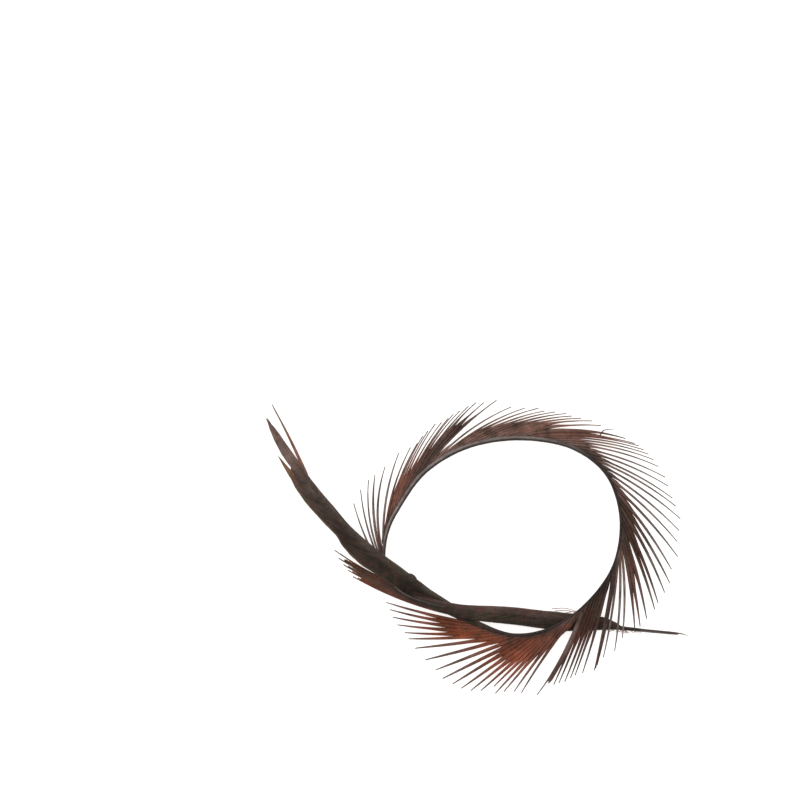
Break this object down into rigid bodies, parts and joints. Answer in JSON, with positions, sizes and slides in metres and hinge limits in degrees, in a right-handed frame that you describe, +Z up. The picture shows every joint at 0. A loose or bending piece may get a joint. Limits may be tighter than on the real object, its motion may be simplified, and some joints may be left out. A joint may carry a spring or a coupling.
{
  "type": "pheasant tail feather",
  "caption": "Long dark pheasant tail feather, stripped thin and curled into a ring, with splayed barbs around the ring, a closed strip to the tip and a bare quill end.",
  "frame": {"origin": "middle of the object's box, at the height of the surface it lies on", "axes": "+Z up from the surface, +X towards the quill's end, +Y across the ring away from the quill"},
  "size_m": [0.1525, 0.1048, 0.0097],
  "materials": {
    "feather": "dark brown keratin barbs with a soft silky sheen"
  },
  "bodies": {
    "root": {"feather": "feather"}
  },
  "joints": []
}
